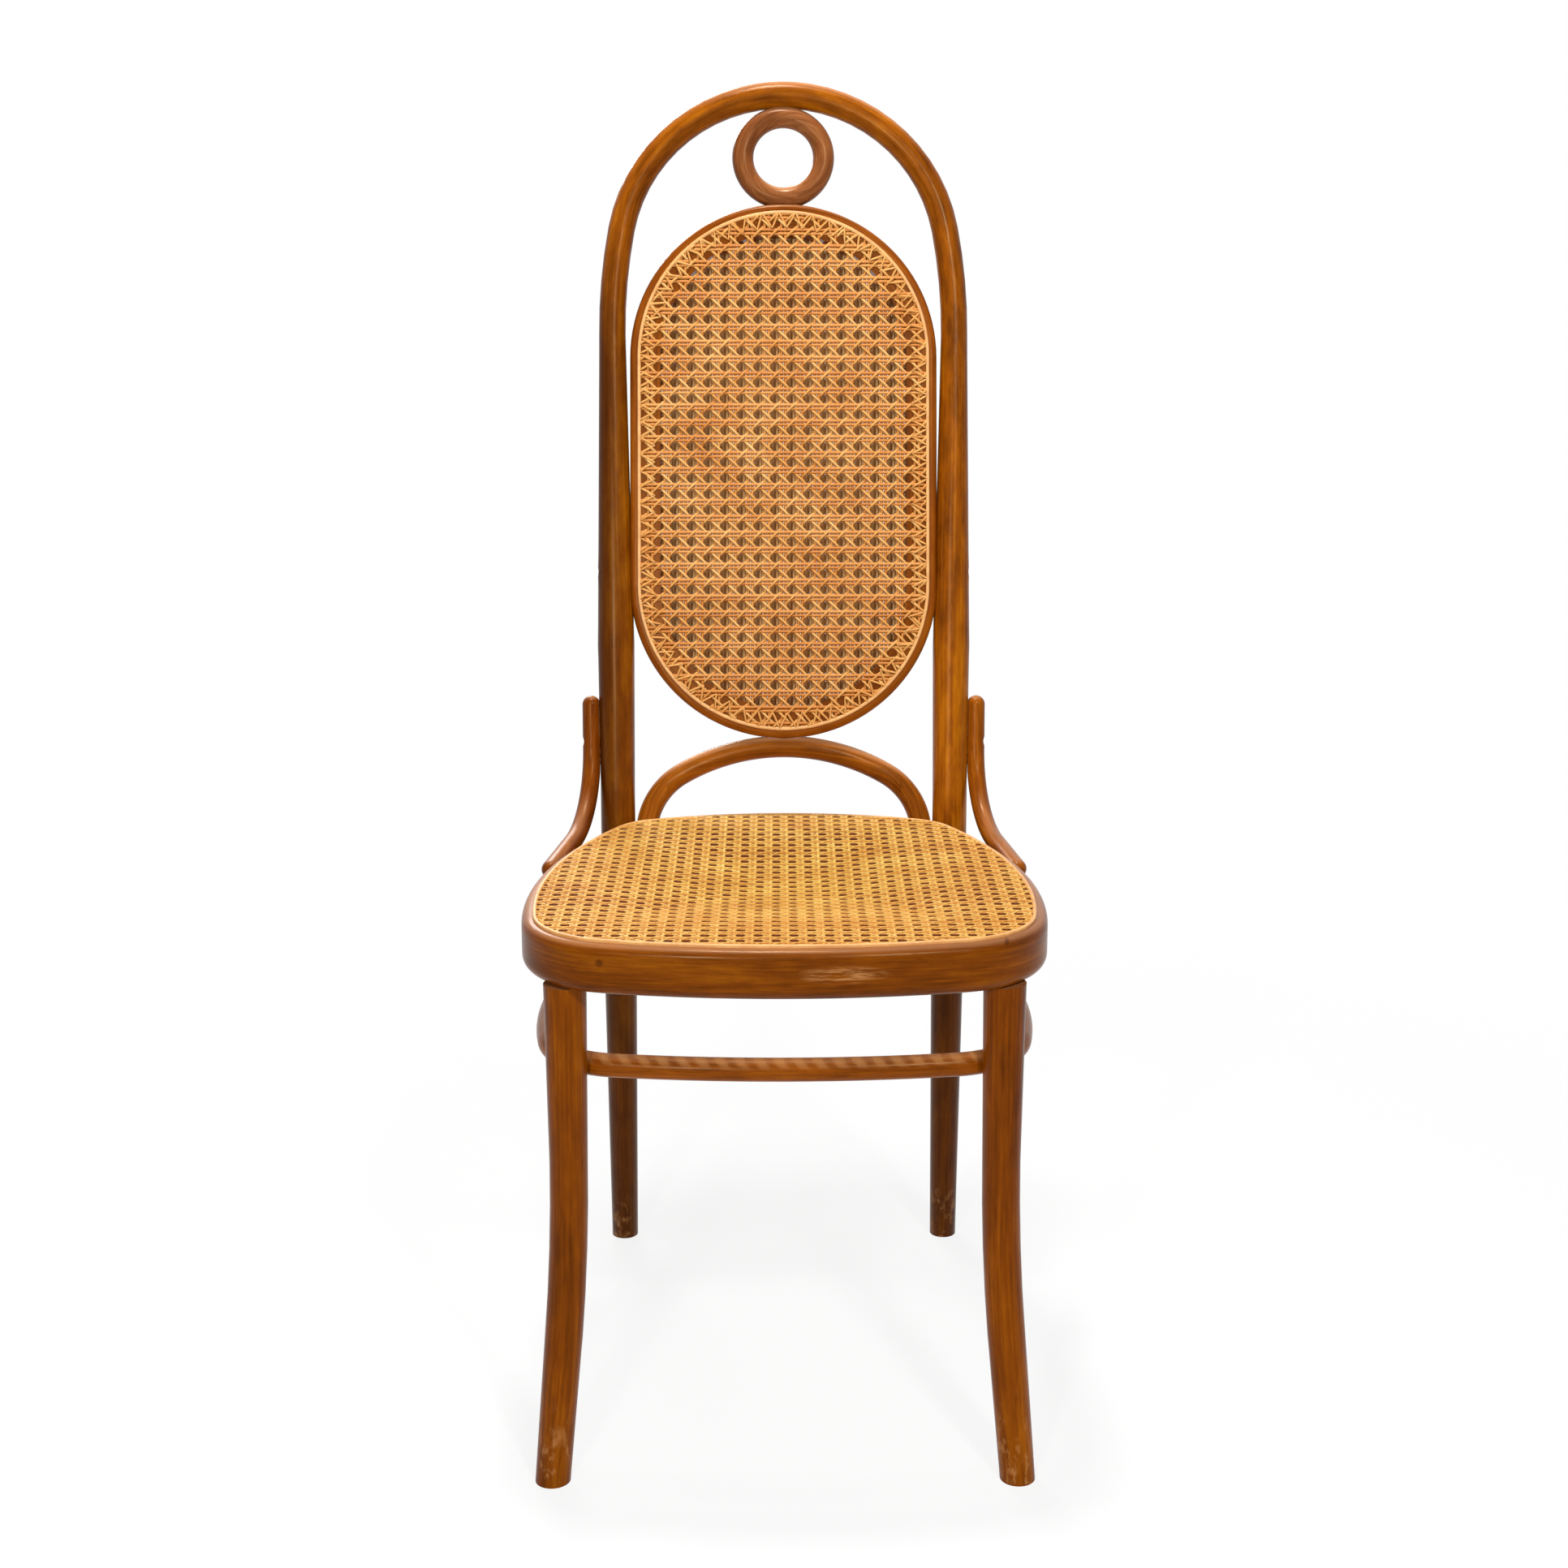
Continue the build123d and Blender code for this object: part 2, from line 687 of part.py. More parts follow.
# Flat faces where the posts and the arch's feet bear on the seat ring
post_face = Plane(
    origin=post_seat + up * rail_middle, x_dir=corner_outward.cross(up), z_dir=corner_outward
)
arch_face = Plane(
    origin=arch_leg_at(rail_middle) + arch_facing * (arch_radius - arch_flat),
    x_dir=right,
    z_dir=arch_facing,
)
rail_block = Box(2 * bow_seat_diameter, seat_rail_height, cut_reach, align=top_aligned)
post_flat_cut = post_face * rail_block
arch_flat_cut = pair(arch_face * Box(2 * arch_diameter, 2 * cut_reach, cut_reach, align=base_aligned))


# Seat ring
def make_seat_ring():
    rail = slab(seat_loop.face(), rail_bottom, seat_rail_height)
    rail = fillet(rail.edges().group_by(Axis.Z)[-1], seat_rail_top_round)
    rail = fillet(rail.edges().group_by(Axis.Z)[0], seat_rail_bottom_round)
    rail -= slab(seat_loop.face(seat_rail_width), rail_bottom, seat_rail_height)
    groove = seat_loop.face(seat_groove_inset) - seat_loop.face(seat_groove_inset + spline_width)
    rail -= slab(groove, rail_top - groove_depth, groove_depth)
    rail -= pair(post_face * Box(2 * bow_seat_diameter, 2 * cut_reach, cut_reach, align=base_aligned))
    rail -= pair(arch_face * Box(arch_housing_width, 2 * cut_reach, cut_reach, align=top_aligned))
    tenon_hole = Cylinder(
        tenon_diameter / 2 + fastener_fit, tenon_length + fastener_fit, align=base_aligned
    )
    rail -= pair(Pos(leg_top) * tenon_hole)
    return rail - bolt_holes - arch_holes - brace_holes


floor_cut = Box(4 * overall_depth, 4 * overall_depth, cut_reach, align=top_aligned)
seat_ring = make_seat_ring()

# Legs, hoop and bow
front_leg = make_front_leg() - floor_cut
front_leg += Pos(leg_top) * Cylinder(tenon_diameter / 2, tenon_length, align=base_aligned)
front_leg -= hoop_holes

bow_side = make_bow_side() - floor_cut - post_flat_cut
bow_side = bow_side - bolt_holes - panel_holes - hoop_holes - brace_holes
bow_crown = make_bow_crown() - make_top_ring(glue_line) - bow_dowel_hole
back_bow = across(bow_side, bow_crown)

bow_clearance = across(make_bow_side(glue_line), make_bow_crown(glue_line))
leg_clearance = pair(make_front_leg(glue_line))
leg_hoop = hoop_loop.rod(hoop_radius, hoop_height) - bow_clearance - leg_clearance - hoop_holes

# Back
top_ring = make_top_ring() - panel_block(glue_line) - bow_dowel_hole - panel_dowel_hole


def make_panel_frame():
    blank = extrude(oval(), panel_depth / 2, both=True)
    blank = fillet(blank.edges().filter_by(Plane.XY), panel_edge_round)
    blank -= extrude(oval(panel_rail_width), panel_depth, both=True)
    groove = oval(panel_groove_inset) - oval(panel_groove_inset + spline_width)
    groove_cut = Pos(0, 0, panel_depth / 2 - groove_depth) * extrude(groove, groove_depth)
    blank = blank - groove_cut - mirror(groove_cut, about=Plane.XY)
    return back_part(blank, panel_drop)


back_panel_frame = make_panel_frame() - bow_clearance - panel_holes
back_panel_frame = back_panel_frame - panel_dowel_hole - arch_dowel_hole
inner_arch = make_arch() - panel_block(glue_line) - arch_flat_cut - bow_clearance
inner_arch = inner_arch - arch_holes - arch_dowel_hole

brace_rail_clearance = slab(seat_loop.face(-glue_line), rail_bottom, seat_rail_height)
side_brace = make_brace() - bow_clearance - brace_rail_clearance - brace_holes


# Cane sheets are nets: gaps on a square grid, in a sheet with a plain border
def net(outline, gap_limit, pitch, diameter, middle_y):
    reach = outline.bounding_box().size.length / 2
    steps = range(-int(reach / pitch), int(reach / pitch) + 1)
    gaps = []
    for column in steps:
        for row in steps:
            spot = Vector((column + 0.5) * pitch, middle_y + row * pitch)
            if gap_limit.is_inside(spot):
                gaps.append(Pos(spot) * Wire.make_circle(diameter / 2))
    return Face(outline.face().outer_wire(), gaps), len(gaps)


seat_cane_inset = seat_groove_inset + spline_width
seat_cane_outline = seat_loop.face(seat_cane_inset)
seat_gap_limit = seat_loop.face(seat_cane_inset + cane_border + seat_gap_diameter / 2).face()
seat_middle_y = (seat_front_y + seat_back_y) / 2
seat_net, seat_gaps = net(
    seat_cane_outline, seat_gap_limit, seat_gap_pitch, seat_gap_diameter, seat_middle_y
)
seat_cane = slab(seat_net, rail_top, cane_thickness)

panel_cane_inset = panel_groove_inset + spline_width
panel_gap_limit = oval(panel_cane_inset + cane_border + panel_gap_diameter / 2).face()
panel_net, panel_gaps = net(
    oval(panel_cane_inset), panel_gap_limit, panel_gap_pitch, panel_gap_diameter, 0
)
front_sheet = Pos(0, 0, panel_depth / 2) * extrude(panel_net, cane_thickness)
back_cane_front = back_part(front_sheet, panel_drop)
back_cane_rear = back_part(mirror(front_sheet, about=Plane.XY), panel_drop)


# Splines stand in their grooves, a little proud of the cane
def make_spline(outer, inner, face_height):
    band = slab(outer - inner, face_height - groove_depth, groove_depth + spline_proud)
    return fillet(band.edges().group_by(Axis.Z)[-1], spline_round)


seat_spline = make_spline(
    seat_loop.face(seat_groove_inset + fastener_fit),
    seat_loop.face(seat_cane_inset - fastener_fit),
    rail_top,
)
panel_spline = make_spline(
    oval(panel_groove_inset + fastener_fit), oval(panel_cane_inset - fastener_fit), panel_depth / 2
)
back_spline_front = back_part(panel_spline, panel_drop)
back_spline_rear = back_part(mirror(panel_spline, about=Plane.XY), panel_drop)


def placed_screws(place, length):
    return pair(place * screw(length))


nodes = {
    "back_bow": [back_bow],
    "seat_ring": [seat_ring],
    "front_leg_right": [front_leg],
    "front_leg_left": [mirror(front_leg, about=Plane.YZ)],
    "leg_hoop": [leg_hoop],
    "side_brace_right": [side_brace],
    "side_brace_left": [mirror(side_brace, about=Plane.YZ)],
    "inner_arch": [inner_arch],
    "back_panel_frame": [back_panel_frame],
    "top_ring": [top_ring],
    "top_ring_dowels": [
        dowel_place(bow_dowel_drop) * dowel(dowel_length),
        dowel_place(panel_dowel_drop) * dowel(dowel_length),
    ],
    "arch_crown_dowel": [dowel_place(arch_dowel_drop) * dowel(dowel_length)],
    "seat_cane": [seat_cane],
    "seat_spline": [seat_spline],
    "back_cane_front": [back_cane_front],
    "back_spline_front": [back_spline_front],
    "back_cane_rear": [back_cane_rear],
    "back_spline_rear": [back_spline_rear],
    "seat_bolts": pair(bolt_place * make_bolt()),
    "seat_bolt_washers": pair(bolt_place * make_washer()),
    "seat_bolt_nuts": pair(bolt_place * make_nut()),
    "brace_upper_screws": placed_screws(brace_upper_place, brace_screw_length),
    "brace_lower_screws": placed_screws(brace_lower_place, brace_screw_length),
    "leg_hoop_screws": placed_screws(hoop_front_place, hoop_screw_length)
    + placed_screws(hoop_rear_place, hoop_screw_length),
    "panel_side_screws": placed_screws(panel_screw_place, panel_screw_length),
    "arch_foot_screws": placed_screws(arch_screw_place, arch_screw_length),
}

os.makedirs("parts", exist_ok=True)
for name, shapes in nodes.items():
    solids = [solid for shape in shapes for solid in shape.solids()]
    export_step(solids[0] if len(solids) == 1 else Compound(solids), f"parts/{name}.step")

print("gaps in the seat net:", seat_gaps)
print("gaps in each panel net:", panel_gaps)
print("back recline, degrees:", round(degrees(back_recline), 2))
print("post centre at the seat:", round(post_centre.X, 1), round(post_centre.Y, 1))
print("top arc radius:", round(crown_radius, 1))
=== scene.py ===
import json
import math
import bpy
import numpy as np
from mathutils import Matrix, Vector
from mathutils.geometry import convex_hull_2d

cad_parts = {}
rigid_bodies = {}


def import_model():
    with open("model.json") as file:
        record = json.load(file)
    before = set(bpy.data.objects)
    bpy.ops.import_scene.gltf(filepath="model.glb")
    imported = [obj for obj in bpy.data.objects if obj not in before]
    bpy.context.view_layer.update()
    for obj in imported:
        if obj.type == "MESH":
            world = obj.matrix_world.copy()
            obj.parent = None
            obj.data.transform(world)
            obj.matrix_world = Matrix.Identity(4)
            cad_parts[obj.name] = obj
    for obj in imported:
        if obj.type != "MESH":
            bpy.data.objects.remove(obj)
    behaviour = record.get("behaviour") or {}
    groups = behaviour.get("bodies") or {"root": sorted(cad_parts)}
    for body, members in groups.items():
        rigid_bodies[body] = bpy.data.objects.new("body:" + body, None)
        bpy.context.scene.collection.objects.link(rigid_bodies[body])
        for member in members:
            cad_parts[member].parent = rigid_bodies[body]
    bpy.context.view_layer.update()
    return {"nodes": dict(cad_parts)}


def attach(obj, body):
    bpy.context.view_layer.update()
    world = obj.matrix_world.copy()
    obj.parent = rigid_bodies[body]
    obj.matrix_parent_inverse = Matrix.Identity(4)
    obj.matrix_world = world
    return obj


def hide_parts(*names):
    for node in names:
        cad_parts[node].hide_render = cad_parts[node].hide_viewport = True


for leftover in list(bpy.data.objects):  # start-up cube, lamp and camera
    bpy.data.objects.remove(leftover)
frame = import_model()
nodes = frame["nodes"]
scene = bpy.context.scene
print("chair loaded,", len(nodes), "pieces")


# shader maths: an expression on wires adds its nodes
class Wire:
    def __init__(self, tree, socket=None):
        self.tree = tree
        self.socket = socket

    def node(self, kind, settings=None, values=None, out=0):
        made = self.tree.nodes.new(kind)
        for name, value in (settings or {}).items():
            if name == "stops":
                ramp = made.color_ramp
                while len(ramp.elements) < len(value):
                    ramp.elements.new(1.0)
                for element, (place, colour) in zip(ramp.elements, value):
                    element.position = place
                    element.color = colour
            else:
                setattr(made, name, value)
        for name, value in (values or {}).items():
            if isinstance(value, Wire):
                self.tree.links.new(value.socket, made.inputs[name])
            else:
                made.inputs[name].default_value = value
        return Wire(self.tree, made.outputs[out] if len(made.outputs) else None)

    def maths(self, operation, first, second):
        return self.node("ShaderNodeMath", {"operation": operation}, {0: first, 1: second})

    def __add__(self, other):
        return self.maths("ADD", self, other)

    def __radd__(self, other):
        return self.maths("ADD", other, self)

    def __sub__(self, other):
        return self.maths("SUBTRACT", self, other)

    def __rsub__(self, other):
        return self.maths("SUBTRACT", other, self)

    def __mul__(self, other):
        return self.maths("MULTIPLY", self, other)

    def __rmul__(self, other):
        return self.maths("MULTIPLY", other, self)

    def __truediv__(self, other):
        return self.maths("DIVIDE", self, other)

    def __rtruediv__(self, other):
        return self.maths("DIVIDE", other, self)

    def __pow__(self, other):
        return self.maths("POWER", self, other)

    def __rpow__(self, other):
        return self.maths("POWER", other, self)

    def bigger(self, other):
        return self.maths("MAXIMUM", self, other)

    def step(self, low, high):  # 0 below low, 1 above high
        values = {0: self, 1: low, 2: high, 3: 0.0, 4: 1.0}
        settings = {"interpolation_type": "SMOOTHSTEP"}
        return self.node("ShaderNodeMapRange", settings, values)

    def below(self, low, high):  # 1 below low, 0 above high
        return 1 - self.step(low, high)

    def axis(self, name):  # X, Y or Z of a place or a direction
        return self.node("ShaderNodeSeparateXYZ", None, {0: self}, name)

    def ramp(self, places, colours):
        return self.node("ShaderNodeValToRGB", {"stops": list(zip(places, colours))}, {0: self})

    def bumped(self, strength, deep):  # self is a height
        values = {"Strength": strength, "Distance": deep, "Height": self}
        return self.node("ShaderNodeBump", None, values)

    def mixed(self, first, second, blend="MIX"):  # self is the factor
        settings = {"data_type": "RGBA", "blend_type": blend}
        return self.node("ShaderNodeMix", settings, {0: self, 6: first, 7: second}, 2)

    def noise(self, stretch, shift, detail=3.0, rough=0.55):  # self is a place
        values = {0: self, 1: stretch, 2: shift}
        moved = self.node("ShaderNodeVectorMath", {"operation": "MULTIPLY_ADD"}, values)
        values = {"Vector": moved, "Scale": 1.0, "Detail": detail, "Roughness": rough}
        return self.node("ShaderNodeTexNoise", None, values)


def linear(red, green, blue, tint=(1.0, 1.0, 1.0)):  # a screen colour, 0 to 255
    made = []
    for part, times in zip((red, green, blue), tint):
        part = part / 255
        part = part / 12.92 if part <= 0.04045 else ((part + 0.055) / 1.055) ** 2.4
        made.append(part * times)
    return (*made, 1.0)


def newFinish(name):
    made = bpy.data.materials.new(name)
    made.use_nodes = True
    made.node_tree.nodes.clear()
    return made, Wire(made.node_tree)


def coated(made, start, values):  # the shader that each finish ends in
    shader = start.node("ShaderNodeBsdfPrincipled", None, values)
    start.node("ShaderNodeOutputMaterial", None, {"Surface": shader})
    return made


def dress(piece, finish):
    piece.data.materials.clear()
    piece.data.materials.append(finish)


def meshPoints(piece):
    flat = np.zeros(len(piece.data.vertices) * 3)
    piece.data.vertices.foreach_get("co", flat)
    return flat.reshape(-1, 3)


def setGrain(piece, grain):
    made = piece.data.attributes.new("grain", "FLOAT_VECTOR", "POINT")
    made.data.foreach_set("vector", np.asarray(grain, np.float32).ravel())


# the back's plane
back = {"apex": (0.0, 0.26275, 1.10475), "topDrop": 0.01225, "recline": 12.4}
lean = math.radians(back["recline"])
backUp = np.array((0.0, math.sin(lean), math.cos(lean)))
backFacing = np.array((0.0, -math.cos(lean), math.sin(lean)))
acrossX = np.array((1.0, 0.0, 0.0))


def onBack(x, drop):
    return np.array(back["apex"]) + x * acrossX + (back["topDrop"] - drop) * backUp


# which way the wood's grain runs: metres along the rod, and across it
def smoothPath(points, each=24):
    points = np.array(points, float)
    ends = np.vstack((2 * points[0] - points[1], points, 2 * points[-1] - points[-2]))
    made = []
    for a, b, c, d in zip(ends, ends[1:], ends[2:], ends[3:]):
        t = np.linspace(0, 1, each, endpoint=False)[:, None]
        made.append(0.5 * (2 * b + (c - a) * t + (2 * a - 5 * b + 4 * c - d) * t ** 2
                           + (3 * b - a - 3 * c + d) * t ** 3))
    return np.vstack(made + [points[-1:]])


def rodGrain(piece, path):
    path = smoothPath(path)
    tangent = np.gradient(path, axis=0)
    tangent /= np.linalg.norm(tangent, axis=1)[:, None]
    run = np.concatenate(([0], np.cumsum(np.linalg.norm(np.diff(path, axis=0), axis=1))))
    side = np.zeros_like(path)
    side[0] = np.cross(tangent[0], (0.3, 0.9, 0.2))  # any way off the path
    for i in range(len(path)):  # carried along so that it never twists
        carried = side[max(i - 1, 0)]
        carried = carried - tangent[i] * np.dot(carried, tangent[i])
        side[i] = carried / np.linalg.norm(carried)
    other = np.cross(tangent, side)
    points = meshPoints(piece)
    near = np.array([np.argmin(((path - p) ** 2).sum(1)) for p in points])
    off = points - path[near]
    along = run[near] + (off * tangent[near]).sum(1)
    setGrain(piece, np.stack((along, (off * side[near]).sum(1), (off * other[near]).sum(1)), 1))


def outerRim(flat):  # corners of the convex outline, anticlockwise
    rim = flat[convex_hull_2d([Vector(p) for p in flat])]
    rim = rim[np.linalg.norm(rim - np.roll(rim, 1, axis=0), axis=1) > 1e-6]  # doubled corners go
    turned = np.roll(rim, -1, axis=0)
    if (rim[:, 0] * turned[:, 1] - rim[:, 1] * turned[:, 0]).sum() < 0:
        rim = rim[::-1]
    return rim


loopDrift = 0.012  # how far the grain wanders across a bent loop


def loopGrain(piece, right, up):
    points = meshPoints(piece)
    middle = (points.min(0) + points.max(0)) / 2
    out = np.cross(right, up)
    flat = np.stack(((points - middle) @ right, (points - middle) @ up), 1)
    rim = outerRim(flat)
    rim = np.roll(rim, -int(np.argmin(rim[:, 1])), axis=0)  # starts at the low end
    edge = np.roll(rim, -1, axis=0) - rim
    size = np.linalg.norm(edge, axis=1)
    run = np.concatenate(([0], np.cumsum(size)))
    along = np.zeros(len(flat))
    inside = np.zeros(len(flat))
    for i, p in enumerate(flat):
        t = np.clip(((p - rim) * edge).sum(1) / size ** 2, 0, 1)
        gap = np.linalg.norm(rim + t[:, None] * edge - p, axis=1)
        k = int(np.argmin(gap))
        along[i] = run[k] + t[k] * size[k]
        inside[i] = gap[k]
    turn = 2 * math.pi * along / run[-1]
    along = np.abs(along - run[-1] / 2)  # the same from both ends, so no join shows
    drift = loopDrift * np.sin(turn)
    setGrain(piece, np.stack((along, inside + drift, (points - middle) @ out), 1))


# the middle line of each bent rod
crown = {"radius": 0.1517, "drop": 0.164}
bowHalf = [onBack(crown["radius"] * math.sin(a), crown["drop"] - crown["radius"] * math.cos(a))
           for a in np.radians((0, 20, 40, 60, 76))]
bowHalf += [onBack(0.1576, 0.2335), onBack(0.155, 0.45), (0.1524, 0.1193, 0.45)]
bowHalf += [(0.1532, 0.121, 0.40), (0.156, 0.165, 0.20), (0.159, 0.212, 0.0)]
archHalf = [(0.0, 0.1332, 0.5156), (0.09, 0.131, 0.502), (0.118, 0.127, 0.478), (0.127, 0.124, 0.4525)]
legPath = [(0.172, -0.223, 0.47), (0.173, -0.2235, 0.30), (0.1745, -0.2275, 0.15), (0.1876, -0.2527, 0.0)]
bracePath = [(0.178, 0.142, 0.56), (0.181, 0.13, 0.50), (0.187, 0.105, 0.462), (0.195, 0.06, 0.445),
             (0.203, -0.005, 0.44)]


def mirrored(path):
    return [(-p[0], p[1], p[2]) for p in path]


rodGrain(nodes["back_bow"], mirrored(bowHalf)[::-1] + bowHalf[1:])
rodGrain(nodes["inner_arch"], mirrored(archHalf)[::-1] + archHalf[1:])
rodGrain(nodes["front_leg_right"], legPath)
rodGrain(nodes["front_leg_left"], mirrored(legPath))
rodGrain(nodes["side_brace_right"], bracePath)
rodGrain(nodes["side_brace_left"], mirrored(bracePath))
for name in ("seat_ring", "leg_hoop"):
    loopGrain(nodes[name], acrossX, np.array((0.0, 1.0, 0.0)))
for name in ("back_panel_frame", "top_ring"):
    loopGrain(nodes[name], acrossX, backUp)
for name in ("top_ring_dowels", "arch_crown_dowel"):
    setGrain(nodes[name], meshPoints(nodes[name])[:, (2, 0, 1)])
print("grain laid along the wood")


# varnished beech
beech = {
    "dark": (80, 34, 2), "middle": (134, 68, 6), "light": (176, 102, 16), "stops": (0.12, 0.5, 0.88),
    "cloud": (4.5, 26.0, 26.0), "cloudTone": 1.05, "streak": (8.0, 380.0, 380.0), "streakTone": 0.75,
    "mottle": (36.0, 110.0, 110.0), "blotch": 0.4, "deepen": 0.4,
    "fleck": (75.0, 1300.0, 1300.0), "fleckEdge": (0.60, 0.72), "fleckDark": 0.35,
    "paintedHighlightColour": (206, 146, 98), "paintedHighlight": 0.3, "paintedHighlightFacing": (0.55, 1.0), "paintedHighlightCloud": 0.8, "paintedHighlightAll": 0.6,
    "wornAndLit": (205, 150, 92), "wornAndLitCover": 0.7, "rub": (130.0, 130.0, 60.0), "rubEdge": (0.50, 0.70),
    "feetHigh": 0.08, "feetWorn": 0.75, "stainAndShade": (52, 17, 1),
    "streakHigh": 0.6, "fleckDeep": 0.5, "rubHigh": 0.25, "bump": 0.22, "bumpDeep": 0.0003,
    "rough": 0.27, "roughStreak": 0.2, "roughWorn": 0.25,
    "specular": 0.12, "specularTint": (1.0, 0.70, 0.36, 1.0), "shadowOffset": 0.25,
}
beechPieces = {
    "back_bow": {"tint": (1.05, 1.07, 0.6), "shift": (0.0, 0.0, 0.0), "paintedHighlight": 0.45, "blotch": 0.75,
                 "stainAndShadeMarks": {"postX": (-0.168, -0.12), "postTop": (0.85, 1.02), "post": 0.8,
                             "legTop": (0.36, 0.47), "legs": 0.74}},
    "seat_ring": {"tint": (0.64, 0.58, 0.2), "shift": (3.1, 0.4, 1.7),
                  "patch": {"at": (0.044, 0.4335), "half": (0.036, 0.0075), "edge": (0.2, 1.2),
                            "rub": (38.0, 38.0, 420.0), "rubEdge": (0.42, 0.62),
                            "front": (-0.24, -0.22), "amount": 0.6},
                  "spots": {"each": ((-0.1424, 0.4392, 0.0036), (0.1711, 0.4505, 0.0022)),
                            "edge": (0.1, 1.3), "front": (-0.2, -0.1), "amount": 0.6}},
    "front_leg_right": {"tint": (0.75, 0.66, 0.1), "shift": (5.2, 2.4, 0.7)},
    "front_leg_left": {"tint": (0.74, 0.67, 0.1), "shift": (8.9, 1.3, 3.3)},
    "leg_hoop": {"tint": (0.9, 0.86, 1.0), "shift": (1.4, 6.1, 2.2),
                 "ripple": {"pitch": 0.0155, "sway": 2.0, "edge": (-0.9, 0.9), "top": (0.3405, 0.3465),
                            "front": (-0.2, -0.16), "amount": 0.45}},
    "side_brace_right": {"tint": (0.9, 0.86, 0.9), "shift": (2.6, 3.8, 5.0)},
    # the left brace has a darker tint than the right: painted shade, as if lit from the right
    "side_brace_left": {"tint": (0.64, 0.54, 0.6), "shift": (7.3, 4.6, 1.1)},
    # the arch's lighter tint is partly painted highlight
    "inner_arch": {"tint": (1.25, 1.4, 2.6), "shift": (4.7, 5.5, 6.4), "paintedHighlight": 0.8},
    "back_panel_frame": {"tint": (0.86, 0.80, 1.1), "shift": (6.8, 7.2, 4.1)},
    "top_ring": {"tint": (0.80, 0.98, 8.0), "shift": (9.4, 8.3, 7.6), "paintedHighlight": 0.5},
    "top_ring_dowels": {"tint": (0.9, 0.86, 0.9), "shift": (0.7, 1.9, 8.8)},
    "arch_crown_dowel": {"tint": (0.9, 0.86, 0.9), "shift": (1.8, 9.1, 0.2)},
}


def railMark(place, at, half, mark):  # an oval on the front of the seat rail
    far = ((place.axis("X") - at[0]) / half[0]) ** 2 + ((place.axis("Z") - at[1]) / half[1]) ** 2
    return far.below(*mark["edge"]) * place.axis("Y").below(*mark["front"]) * mark["amount"]


def beechFinish(name, look):
    made, start = newFinish("beech_" + name)
    grain = start.node("ShaderNodeAttribute", {"attribute_name": "grain"}, None, "Vector")
    place = start.node("ShaderNodeTexCoord", None, None, "Object")
    shift = look["shift"]
    cloud = grain.noise(beech["cloud"], shift)
    streak = grain.noise(beech["streak"], shift, 4.0, 0.6)
    fleck = grain.noise(beech["fleck"], shift, 2.0).step(*beech["fleckEdge"])
    mottle = grain.noise(beech["mottle"], shift)
    tone = cloud * beech["cloudTone"] + streak * beech["streakTone"]
    tone = tone + (mottle - 0.5) * look.get("blotch", beech["blotch"]) - beech["deepen"]
    shades = [linear(*beech[shade], look["tint"]) for shade in ("dark", "middle", "light")]
    colour = tone.ramp(beech["stops"], shades)
    colour = (fleck * beech["fleckDark"]).mixed(colour, shades[0])
    high = place.axis("Z")
    upward = start.node("ShaderNodeNewGeometry", None, None, "Normal").axis("Z").step(*beech["paintedHighlightFacing"])
    paintedHighlight = upward * (cloud * beech["paintedHighlightCloud"] + beech["paintedHighlightAll"])  # painted highlight: paler where it faces up, as if lit from above
    colour = (paintedHighlight * look.get("paintedHighlight", beech["paintedHighlight"])).mixed(colour, linear(*beech["paintedHighlightColour"]))
    stainAndShade = linear(*beech["stainAndShade"])
    if "stainAndShadeMarks" in look:  # the left post and both rear legs are darker: partly stain, partly painted shade, on the left post as if lit from the right and on the rear legs under the seat
        mark = look["stainAndShadeMarks"]
        left = place.axis("X").below(*mark["postX"]) * high.below(*mark["postTop"]) * mark["post"]
        low = high.below(*mark["legTop"]) * mark["legs"]
        colour = left.bigger(low).mixed(colour, stainAndShade)
    rub = place.noise(beech["rub"], shift, 4.0, 0.65)
    feet = high.below(0.0, beech["feetHigh"])
    wornAndLit = feet * rub.step(*beech["rubEdge"]) * beech["feetWorn"]  # scuffed feet
    if "patch" in look:  # varnish rubbed off the front of the seat rail
        mark = look["patch"]
        rubbed = place.noise(mark["rub"], shift, 5.0, 0.65).step(*mark["rubEdge"])
        wornAndLit = wornAndLit.bigger(railMark(place, mark["at"], mark["half"], mark) * rubbed)
    if "spots" in look:  # small dark spots beside it
        for x, z, half in look["spots"]["each"]:
            colour = railMark(place, (x, z), (half, half), look["spots"]).mixed(colour, stainAndShade)
    if "ripple" in look:  # painted light: an even row of pale marks on top of the hoop's front, where light through the seat cane's holes falls
        mark = look["ripple"]
        slant = (place.axis("X") + high) * (2 * math.pi / mark["pitch"]) + rub * mark["sway"]
        row = start.node("ShaderNodeMath", {"operation": "SINE"}, {0: slant}).step(*mark["edge"])
        row = row * high.step(*mark["top"]) * place.axis("Y").below(*mark["front"])
        wornAndLit = wornAndLit.bigger(row * mark["amount"])
    colour = (wornAndLit * beech["wornAndLitCover"]).mixed(colour, linear(*beech["wornAndLit"]))
    height = streak * beech["streakHigh"] - fleck * beech["fleckDeep"] + rub * beech["rubHigh"]
    rough = beech["rough"] + (streak - 0.5) * beech["roughStreak"] + wornAndLit * beech["roughWorn"]
    values = {"Base Color": colour, "Roughness": rough,
              "Normal": height.bumped(beech["bump"], beech["bumpDeep"]),
              "Specular IOR Level": beech["specular"], "Specular Tint": beech["specularTint"]}
    return coated(made, start, values)


for name, look in beechPieces.items():
    dress(nodes[name], beechFinish(name, look))
    nodes[name].cycles.shadow_terminator_offset = beech["shadowOffset"]  # no saw-tooth on facets
print("beech finished")


